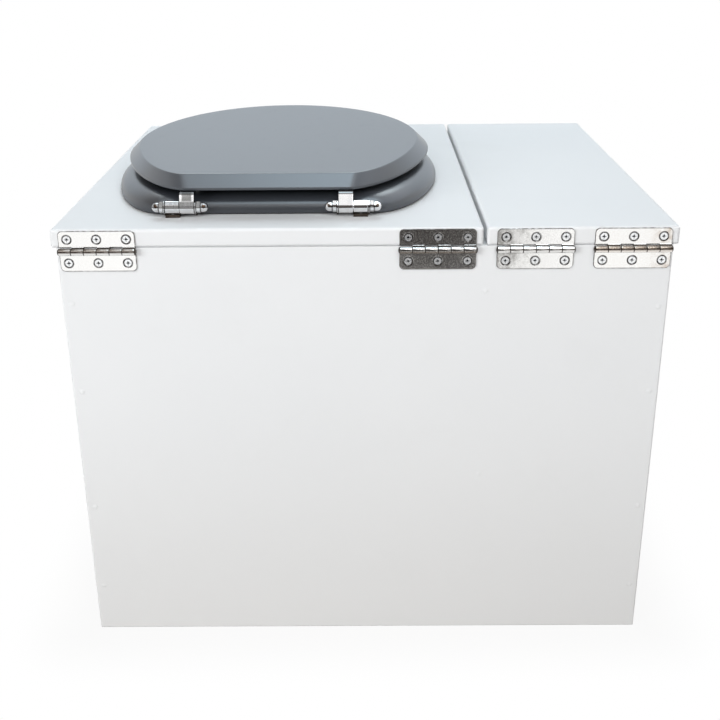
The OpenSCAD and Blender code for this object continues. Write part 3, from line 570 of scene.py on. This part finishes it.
def rounded_profile(corners, steps):
    """Points along a polyline whose corners, given as (x, y, radius), become arcs.

    Each corner of radius r is cut back by r tan(half its turn) and joined by a circular arc.
    """
    corners = [np.array(c, float) for c in corners]
    points = [corners[0][:2]]
    for before, corner, after in zip(corners, corners[1:], corners[2:]):
        back, ahead = before[:2] - corner[:2], after[:2] - corner[:2]
        back /= np.linalg.norm(back)
        ahead /= np.linalg.norm(ahead)
        turn = math.pi - math.acos(float(np.clip(back @ ahead, -1, 1)))
        cut = corner[2] * math.tan(turn / 2)
        inward = (back + ahead) / np.linalg.norm(back + ahead)
        middle = corner[:2] + inward * corner[2] / math.cos(turn / 2)
        start, end = corner[:2] + back * cut - middle, corner[:2] + ahead * cut - middle
        angle = math.atan2(start[0] * end[1] - start[1] * end[0], start @ end)
        share = np.linspace(0.0, 1.0, steps)[:, None] * angle
        points.append(middle + start * np.cos(share)
                      + np.array([-start[1], start[0]]) * np.sin(share))
    points.append(corners[-1][:2])
    return np.concatenate([np.atleast_2d(p) for p in points])


def seat_ring_skin(finish):
    """The seat ring: each section runs over the dome from the outer outline to the hole's.

    A section point is (share w, inset d, height z), and its place is (1 - w) times the outer
    outline drawn in by d plus w times the hole's outline drawn out by d, at height z. The dome
    is a quarter ellipse, and the foot under it hangs below the flat underside.
    """
    low, high = (np.array(c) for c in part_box("seat_ring"))
    middle, half, thick = (low[0] + high[0]) / 2, (high[0] - low[0]) / 2, high[2] - low[2]
    outer = dict(half=half, flat=0.1075, rear=low[1], wide=low[1] + 0.1728, front=high[1],
                 rear_power=1.76)
    hole_rear = low[1] + 0.0910
    hole = dict(half=0.106, flat=0.040, rear=hole_rear, wide=hole_rear + 0.128,
                front=hole_rear + 0.266, rear_power=2.0)
    phase = even_phases(320, **outer)
    dome_in, dome_high = 0.0255, 0.0150
    foot_in, foot_step, foot_drop, foot_edge, hole_edge = 0.0050, 0.0015, 0.0014, 0.0012, 0.0024
    t = np.linspace(0.0, math.pi / 2, 21)
    edge = np.linspace(0.0, math.pi / 2, 8)
    crest = np.array([[0.25, 0.0240, thick], [0.5, 0.0180, thick], [0.7, 0.0150, thick]])
    inner = rounded_profile([(0.016, thick, 0), (0.0105, thick - 0.0004, 0.012),
                             (0.0, thick - 0.0105, 0.010), (0.0, 0.0, 0)], 9)[1:-1]
    section = np.concatenate([
        [(0.0, foot_in + foot_step, 0.0), (0.0, foot_in, -foot_drop)],
        np.stack([0 * edge, foot_edge * (1 - np.sin(edge)),
                  foot_edge * (1 - np.cos(edge)) - foot_drop], 1),
        np.stack([0 * t, dome_in * (1 - np.cos(t)), thick - dome_high * (1 - np.sin(t))], 1)[1:],
        crest,
        np.stack([0 * inner[:, 0] + 1, inner[:, 0], inner[:, 1]], 1),
        np.stack([0 * edge + 1, hole_edge * (1 - np.cos(edge)), hole_edge * (1 - np.sin(edge))],
                 1)])
    rings = []
    for share, inset, height in section:
        line = ((1 - share) * seat_outline(inset=inset, phase=phase, **outer)
                + share * seat_outline(inset=-inset, phase=phase, **hole))
        rings.append(np.column_stack([line[:, 0] + middle, line[:, 1],
                                      np.full(len(line), low[2] + height)]))
    points = np.stack(rings, 1)
    piece = make_piece("seat_ring_skin", [grid_mesh(points, True, True)], finish)
    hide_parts("seat_ring")
    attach(piece, "seat_ring")


def seat_lid_skin(finish):
    """The seat lid: outlines drawn in along a section of lip, bevel and top, closed to a point.

    A section point is (inset d, height z). Beyond the section the outline shrinks in shares
    towards the middle of the lid, above and below.
    """
    low, high = (np.array(c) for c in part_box("seat_lid"))
    middle, half, thick = (low[0] + high[0]) / 2, (high[0] - low[0]) / 2, high[2] - low[2]
    shape = dict(half=half, flat=0.0806, rear=low[1], wide=low[1] + 0.1978, front=high[1],
                 rear_power=1.61)
    phase = even_phases(320, **shape)
    section = rounded_profile([(0.008, 0.0, 0), (0.0, 0.0, 0.0011), (0.0, 0.0027, 0.0010),
                               (0.0123, thick, 0.0035), (0.024, thick, 0)], 8)
    rings = [np.column_stack([seat_outline(inset=d, phase=phase, widen=0.35, **shape),
                              np.full(len(phase), z)]) for d, z in section]
    centre = np.array([0.0, shape["wide"]])
    under, over = ([np.column_stack([centre + (last[:, :2] - centre) * share,
                                     np.full(len(phase), height)])
                    for share in (0.85, 0.65, 0.45, 0.25, 0.08, 0.0)]
                   for last, height in ((rings[0], 0.0), (rings[-1], thick)))
    rings = under[::-1] + rings + over
    points = np.stack(rings, 1)
    points[..., 0] += middle
    points[..., 2] += low[2]
    piece = make_piece("seat_lid_skin", [grid_mesh(points, True, False)], finish)
    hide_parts("seat_lid")
    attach(piece, "seat_lid")


def along_axis(places, sections):
    """Sections of 2-D points, each given its place on the first axis."""
    first = np.broadcast_to(places[:, None, None], sections.shape[:2] + (1,))
    return np.concatenate([first, sections], 2)


def eased_sweep(section, start, end, ease):
    """A closed section (y, z) swept along x, drawn in by a quarter round near both ends."""
    tangent = np.roll(section, -1, 0) - np.roll(section, 1, 0)
    normal = np.stack([-tangent[:, 1], tangent[:, 0]], 1)
    normal /= np.linalg.norm(normal, axis=1, keepdims=True)
    e = ease * np.array([0.0, 0.1, 0.3, 0.6, 1.0, 1.15, 1.3])
    drawn = quarter_round(ease, e)
    drawn = np.concatenate([drawn, drawn[::-1]])
    along = np.concatenate([start + e, end - e[::-1]])
    swept = along_axis(along, section[None] + drawn[:, None, None] * normal[None])
    points, quads = grid_mesh(swept, False, True)
    count, last = len(section), len(points) - len(section)
    return points, quads + [list(range(count))[::-1], list(range(last, last + count))]


def arc(middle, radius, start, end, steps):
    """Points middle + radius (cos t, sin t), t from start to end in degrees."""
    t = np.radians(np.linspace(start, end, steps))
    return np.array(middle) + radius * np.stack([np.cos(t), np.sin(t)], 1)


def lid_strap_skin(finish):
    """The two lid straps: a tongue under the lid that bends down and rolls into its barrel.

    In (y, z) about the pin the outer face is a small bend, a straight that leans by the slope in
    degrees, and the barrel's circle, which the straight meets as its tangent. The inner face
    runs inside the outer one, and meets the circle again.
    """
    low, high = (np.array(c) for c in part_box("lid_straps"))
    radius, width, thick, bend, slope, ease = BARREL_R, STRAP_WIDE, 0.0018, 0.0024, 26, 0.0004
    rise, front = high[2] - low[2] - radius, high[1] - low[1] - radius
    lean, upright = math.sin(math.radians(slope)), math.cos(math.radians(slope))
    leaves = np.array([-radius * upright, radius * lean])
    bend_z = rise - bend
    turns_z = bend_z + bend * lean
    turns_y = leaves[0] + (turns_z - leaves[1]) * lean / upright
    bend_at = (turns_y + bend * upright, bend_z)
    inside = math.degrees(math.acos((radius - thick) / radius))
    section = np.concatenate([
        [(front, rise - thick), (front, rise)],
        arc(bend_at, bend, 90, 180 - slope, 14),
        arc((0.0, 0.0), radius, 180 - slope, 540 - slope - inside, 72),
        arc(bend_at, bend - thick, 180 - slope, 90, 10)])
    placed = section + np.array([low[1] + radius, low[2] + radius])
    parts = [eased_sweep(placed, start, start + width, ease)
             for start in (low[0], high[0] - width)]
    piece = make_piece("lid_strap_skin", parts, finish)
    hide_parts("lid_straps")
    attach(piece, "seat_lid")


def leaf_plate(half):
    """Front and rim of a leaf, over s along the pin and t away from it, as points (s, t, height).

    Columns run from the plate's start to its end, cut back by a quarter round in the corners.
    Height falls by a quarter round at the outline, and round each screw by a 45 degree cone,
    (c + sqrt(c^2 + 4 soft^2)) / 2 at c inside the cone's edge, down to the sink's depth.
    """
    end_band, soft = 0.0012, 0.0001
    near_end = half - end_band * (1.0 - np.cos(np.linspace(0.0, math.pi / 2, 7)))
    s = np.unique(np.concatenate([np.linspace(-half, half, 236), near_end, -near_end]).round(7))
    w = np.unique(np.concatenate([np.linspace(0.0, 1.0, 58), [0.004, 0.011, 0.989, 0.996]]))
    top = LEAF_OUT - quarter_round(LEAF_CORNER, half - np.abs(s))
    t = LEAF_IN + (top - LEAF_IN)[:, None] * w
    s = np.broadcast_to(s[:, None], t.shape)
    past_s, past_t = np.abs(s) - (half - LEAF_CORNER), t - (LEAF_OUT - LEAF_CORNER)
    bow = np.hypot(np.maximum(past_s, 0.0), np.maximum(past_t, 0.0)) - LEAF_CORNER
    inside = -(np.minimum(np.maximum(past_s, past_t), 0.0) + bow)
    inside = np.maximum(np.minimum(inside, t - LEAF_IN), 0.0)
    height = LEAF_THICK - quarter_round(LEAF_EDGE, inside)
    for side in (-1, 0, 1):
        into = SINK_R - np.hypot(s - side * LEAF_SCREWS[0], t - LEAF_SCREWS[1])
        height -= np.minimum((into + np.sqrt(into ** 2 + 4 * soft ** 2)) / 2, SINK_DEPTH)
    points = np.pad(np.stack([s, t, height], -1), ((1, 1), (1, 1), (0, 0)), mode="edge")
    points[[0, -1], :, 2] = 0.0
    points[:, [0, -1], 2] = 0.0
    return points


def knuckle_curl(start, end):
    """A knuckle: the sheet's section round the pin, swept from start to end along s.

    In (t, height) the section is the knuckle's circle about the pin and the neck that joins it
    to the leaf, between the sheet's front and back, with a groove in front where the circle
    meets it. At each end the circle shrinks by a quarter round, and the end face closes to the
    share bore of its size.
    """
    groove, groove_wide, lift, tail, bore = 0.0004, 0.0009, 0.0003, 0.0012, 0.45
    turn = np.linspace(math.asin((NECK_FRONT + lift) / KNUCKLE_R), -1.5 * math.pi, 48)
    circle = KNUCKLE_R * np.stack([np.cos(turn), np.sin(turn)], 1)
    meets = circle[0, 0]
    section = np.concatenate([
        [(NECK_REACH, NECK_BACK), (NECK_REACH, NECK_FRONT), (meets + groove_wide, NECK_FRONT),
         (meets + groove, NECK_FRONT + groove)], circle, [(tail, NECK_BACK)]])
    e = KNUCKLE_EASE * np.array([0.0, 0.1, 0.3, 0.6, 1.0])
    shrink = 1.0 - quarter_round(KNUCKLE_EASE, e) / KNUCKLE_R
    along = np.concatenate([[start], start + e, end - e[::-1], [end]])
    scale = np.concatenate([[bore], shrink, shrink[::-1], [bore]])
    shrinks = np.where(section[None, :, :1] > KNUCKLE_R, 1.0, scale[:, None, None])
    return along_axis(along, section[None] * shrinks)


def hinge_leaf_skin(node, body, way, first, finish):
    """A butt hinge leaf: a plate with eased edges and countersinks, and three rolled knuckles.

    s runs along X from the hinge's middle and t away from the pin, up for way 1 and down for -1.
    The plate's height stands off the face that it is screwed to, towards -Y, and a knuckle's
    runs from the pin to that face. The knuckles are every second of six, from the first on.
    """
    low, high = (np.array(c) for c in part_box(node))
    middle, half = (low[0] + high[0]) / 2, (high[0] - low[0]) / 2
    pin_y = low[1] + KNUCKLE_R
    pin_z = low[2] + KNUCKLE_R if way > 0 else high[2] - KNUCKLE_R
    pitch = half / 3

    def placed(points, y, closed):
        x, z = middle + points[..., 0], pin_z + way * points[..., 1]
        return grid_mesh(np.stack([x, y, z], -1), False, closed)

    plate = leaf_plate(half)
    parts = [placed(plate, high[1] - plate[..., 2], False)]
    for number in (first, first + 2, first + 4):
        start = number * pitch - half
        curl = knuckle_curl(start + KNUCKLE_GAP, start + pitch - KNUCKLE_GAP)
        parts.append(placed(curl, pin_y + curl[..., 2], True))
    piece = make_piece(node + "_skin", parts, finish)
    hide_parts(node)
    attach(piece, body)


# ---------------------------------------------------------------- stage

def studio_floor():
    """A pale floor: a flat disc, (r cos t, r sin t, -below), under the toilet.

    The camera sees it plain white, but for a band round the toilet that takes a faint shadow.
    """
    r, t = np.meshgrid(np.array([0.0, 0.5, 1.0, 2.0, 4.0, 8.0, 16.0]),
                       np.arange(48) * math.tau / 48, indexing="ij")
    below, half_x, half_y, band, least_white = 0.0003, 0.30, 0.27, 0.10, 0.92
    points = np.stack([r * np.cos(t), r * np.sin(t), 0 * r - below], -1)
    f = Finish("studio_floor")
    grain = f.noise(40.0, 3.0, 0.5)
    away_x = abs(f.axis("X")) - half_x
    away_y = abs(f.axis("Y")) - half_y
    away = (away_x.at_least(0.0) ** 2.0 + away_y.at_least(0.0) ** 2.0) ** 0.5
    seen = f.node("ShaderNodeLightPath", {}, {})
    plain = (Signal(f, seen.outputs["Is Glossy Ray"])
             + Signal(f, seen.outputs["Is Transmission Ray"])).clamped()
    shown = (Signal(f, seen.outputs["Is Camera Ray"]) * away.ramp(0.0, band, least_white)
             + plain).clamped()
    body = f.node("ShaderNodeBsdfDiffuse", {}, {
        "Color": f.blend(grain, (0.52, 0.505, 0.485), (0.56, 0.545, 0.525)), "Roughness": 0.5})
    white = f.node("ShaderNodeEmission", {}, {"Color": (1.0, 1.0, 1.0, 1.0), "Strength": 1.0})
    mix = f.node("ShaderNodeMixShader", {}, {0: shown, 1: body.outputs[0], 2: white.outputs[0]})
    f.node("ShaderNodeOutputMaterial", {}, {"Surface": mix.outputs[0]})
    floor = make_piece("studio_floor", [grid_mesh(points, False, True)], f.material, False)


def studio_world():
    """White to the camera and in reflections, a plain grey to everything it lights."""
    world = bpy.data.worlds.new("studio_world")
    SCENE.world = world
    world.use_nodes = True
    graph = Graph(world.node_tree)
    path = graph.node("ShaderNodeLightPath", {}, {})
    camera, glossy, through = (Signal(graph, path.outputs[name]) for name in (
        "Is Camera Ray", "Is Glossy Ray", "Is Transmission Ray"))
    light = graph.node("ShaderNodeBackground", {}, {
        "Color": (0.965, 0.983, 1.0, 1.0), "Strength": 0.10})
    shown = graph.node("ShaderNodeBackground", {}, {
        "Color": (1.0, 1.0, 1.0, 1.0), "Strength": 1.0})
    mix = graph.node("ShaderNodeMixShader", {}, {
        0: camera.at_least(glossy).at_least(through), 1: light.outputs[0], 2: shown.outputs[0]})
    graph.node("ShaderNodeOutputWorld", {}, {"Surface": mix.outputs[0]})


def reflected_card(name, corner, width, up, colour):
    """A flat card, corner + a (width, 0, 0) + b up for a, b in 0..1, as part of the room.

    Only reflections show it, and it holds back the white that the world gives them.
    """
    a, b = np.meshgrid([0.0, 0.5, 1.0], [0.0, 0.5, 1.0], indexing="ij")
    side = np.array([width, 0.0, 0.0])
    points = np.array(corner) + a[..., None] * side + b[..., None] * np.array(up)
    f = Finish(name)
    shade = f.blend(f.noise(1.5), colour, tuple(0.8 * c for c in colour))
    glow = f.node("ShaderNodeEmission", {}, {"Color": shade, "Strength": 1.0})
    f.node("ShaderNodeOutputMaterial", {}, {"Surface": glow.outputs[0]})
    card = make_piece(name, [grid_mesh(points, False, False)], f.material, False)
    card.visible_camera = card.visible_diffuse = card.visible_shadow = False
    card.visible_transmission = card.visible_volume_scatter = False


def soft_lamp(name, place, target, width, height, watts, colour, reflected):
    """A soft rectangular lamp turned to its target, and seen in reflections or not at all."""
    data = bpy.data.lights.new(name, "AREA")
    data.shape = "RECTANGLE"
    data.size, data.size_y = width, height
    data.energy = watts
    data.color = colour
    lamp = bpy.data.objects.new(name, data)
    SCENE.collection.objects.link(lamp)
    place, target = Vector(place), Vector(target)
    lamp.matrix_world = Matrix.Translation(place) @ (target - place).to_track_quat(
        "-Z", "Y").to_matrix().to_4x4()
    lamp.visible_camera, lamp.visible_glossy = False, reflected


# The butt hinges from left to right: bare colour, dull colour, speckle, wear, and the band of
# painted brown reflection on the knuckles.
BRIGHT_STEEL = (0.965, 0.960, 0.950)
LEAF_LOOKS = (
    (BRIGHT_STEEL, (0.42, 0.41, 0.39), 0.05, (0.03, 0.05, 0.1), (-0.0010, 0.0002, 0.85)),
    # The second hinge's darker bare and dull colours and its heavy speckle are a painted reflection
    # of a dark thing in front of it.
    ((0.70, 0.69, 0.67), (0.22, 0.215, 0.21), 0.85, (0.03, -0.03, 0.5), (0.0002, -0.0010, 0.85)),
    (BRIGHT_STEEL, (0.42, 0.41, 0.39), 0.14, (0.012, -0.030, 0.8), (-0.0010, 0.0002, 0.25)),
    (BRIGHT_STEEL, (0.50, 0.38, 0.28), 0.08, (0.012, 0.034, 0.6), (-0.0012, 0.0000, 0.95)))

# Name, place, target, width, height, watts, colour, and whether reflections show the lamp.
WHITE = (1.0, 1.0, 1.0)
LAMPS = (
    ("key_left", (-2.2, -2.2, 1.15), (0.0, -0.1, 0.3), 1.3, 1.0, 42.5, (0.975, 0.985, 1.0), False),
    ("high_left", (-0.9, -1.5, 1.9), (0.0, -0.2, 0.4), 1.0, 1.0, 4.5, WHITE, True),
    ("high_right", (0.5, -1.5, 1.9), (0.0, -0.2, 0.4), 1.0, 1.0, 9.5, WHITE, True),
    ("front_fill", (0.2, -2.6, 1.5), (0.0, 0.0, 0.3), 2.0, 1.2, 21.8, WHITE, False),
    ("rear_high", (-0.1, 1.4, 2.0), (0.0, 0.0, 0.45), 1.6, 1.0, 22.0, (0.82, 0.94, 1.0), True),
    ("far_fill", (0.4, 2.8, 0.65), (0.0, 0.0, 0.25), 2.0, 1.2, 14.0, WHITE, False),
    ("right_fill", (2.8, 0.6, 0.62), (0.0, 0.0, 0.25), 1.2, 1.2, 8.0, WHITE, False))

# The room in the chrome: name, corner, width along X, edge away from the corner, and colour.
BROWN, DARK, PALE = (0.115, 0.085, 0.065), (0.095, 0.085, 0.080), (1.16, 1.16, 1.15)
CARDS = (
    ("floor_dark", (0.05, -2.05, 0.004), 0.23, (0.0, 0.62, 0.0), DARK),
    ("floor_left", (-1.3, -2.2, 0.004), 0.86, (0.0, 0.9, 0.0), PALE),
    ("floor_right", (0.30, -2.2, 0.004), 0.95, (0.0, 0.9, 0.0), PALE),
    ("photographer", (-0.24, -1.65, 0.0), 0.56, (0.0, 0.0, 1.36), DARK),
    ("window_bar", (-0.85, -1.65, 0.97), 0.60, (0.0, 0.0, 0.24), DARK),
    ("room_wall", (-0.30, -3.0, 0.10), 1.05, (0.0, 0.0, 1.0), DARK),
    ("room_edge", (-0.95, -3.0, 0.52), 0.64, (0.0, 0.0, 0.2), (0.30, 0.31, 0.31)),
    ("wall_left", (-3.2, -2.8, 0.18), 2.5, (0.0, 0.4, 3.6), BROWN),
    ("wall_right", (0.72, -2.4, 0.18), 2.5, (0.0, -0.4, 3.6), BROWN),
    ("roof_left", (-3.2, -2.6, 2.42), 2.25, (0.0, 2.0, 0.0), BROWN),
    ("roof_back_left", (-3.2, -0.6, 2.42), 2.25, (0.0, 2.0, 0.0), (0.68, 0.62, 0.56)),
    ("roof_right", (1.00, -2.6, 2.42), 2.2, (0.0, 2.0, 0.0), (0.60, 0.62, 0.64)),
    ("roof_back_right", (1.00, -0.6, 2.42), 2.6, (0.0, 3.4, 0.0), (1.9, 2.0, 2.15)),
    ("overhead", (-0.36, -1.30, 2.4), 0.78, (0.0, 1.5, 0.0), (5.6, 6.8, 7.6)),
    ("overhead_left", (-0.95, -1.30, 2.4), 0.59, (0.0, 1.5, 0.0), (2.0, 2.1, 2.2)),
    ("overhead_right", (0.42, -1.30, 2.4), 0.58, (0.0, 1.5, 0.0), (2.4, 2.5, 2.6)),
    ("backdrop", (-3.0, 3.0, 0.55), 6.0, (0.0, 0.0, 1.9), (1.1, 1.2, 1.3)))


# ---------------------------------------------------------------- making the toilet

place_camera()
studio_floor()
studio_world()
for lamp in LAMPS:
    soft_lamp(*lamp)
for card in CARDS:
    reflected_card(*card)

bucket_low, bucket_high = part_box("bucket")
bucket_axis = ((bucket_low[0] + bucket_high[0]) / 2, (bucket_low[1] + bucket_high[1]) / 2)
leaf_boxes = [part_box(f"top_leaf_{number}") for number in (1, 2, 3, 4)]
leaf_middles = [(low[0] + high[0]) / 2 for low, high in leaf_boxes]
leaf_pin_z = leaf_boxes[0][0][2] + KNUCKLE_R

paint = white_paint("box_paint")
lacquer = seat_lacquer("seat_grey")
chrome = hinge_chrome("hinge_chrome")
board_screws = screw_zinc("board_screws", leaf_middles, leaf_pin_z)
finishes = {
    "box_paint": paint,
    "painted_screws": paint,
    "screw_steel": screw_zinc("screw_steel"),
    "hinge_chrome": chrome,
    "seat_grey": lacquer,
    "bumper_rubber": moulded_rubber("bumper_rubber", (0.055, 0.055, 0.058), (0.12, 0.12, 0.12)),
    "post_pad": moulded_rubber("post_pad", (0.020, 0.014, 0.009), (0.045, 0.032, 0.022)),
    "bucket_steel": spun_steel("bucket_steel", bucket_axis),
    "grip_wood": oiled_beech("grip_wood"),
}
leaf_finishes = [hinge_steel(f"leaf_steel_{number}", f"top_leaf_{number}", *look)
                 for number, look in enumerate(LEAF_LOOKS, 1)]

for part in frame["record"]["subparts"]:
    node = part["node"]
    finish = finishes.get(part["material_slot"])
    if part["material_slot"] == "leaf_steel":
        finish = leaf_finishes[int(node[-1]) - 1]
    elif node.endswith("leaf_screws"):
        finish = board_screws
    mesh = frame["nodes"][node].data
    mesh.materials.clear()
    mesh.materials.append(finish)

seat_ring_skin(lacquer)
seat_lid_skin(lacquer)
lid_strap_skin(chrome)
for number, board in ((1, "seat_board"), (2, "seat_board"), (3, "litter_lid"), (4, "litter_lid")):
    finish = leaf_finishes[number - 1]
    hinge_leaf_skin(f"top_leaf_{number}", board, 1, 1, finish)
    hinge_leaf_skin(f"base_leaf_{number}", "cabinet", -1, 0, finish)
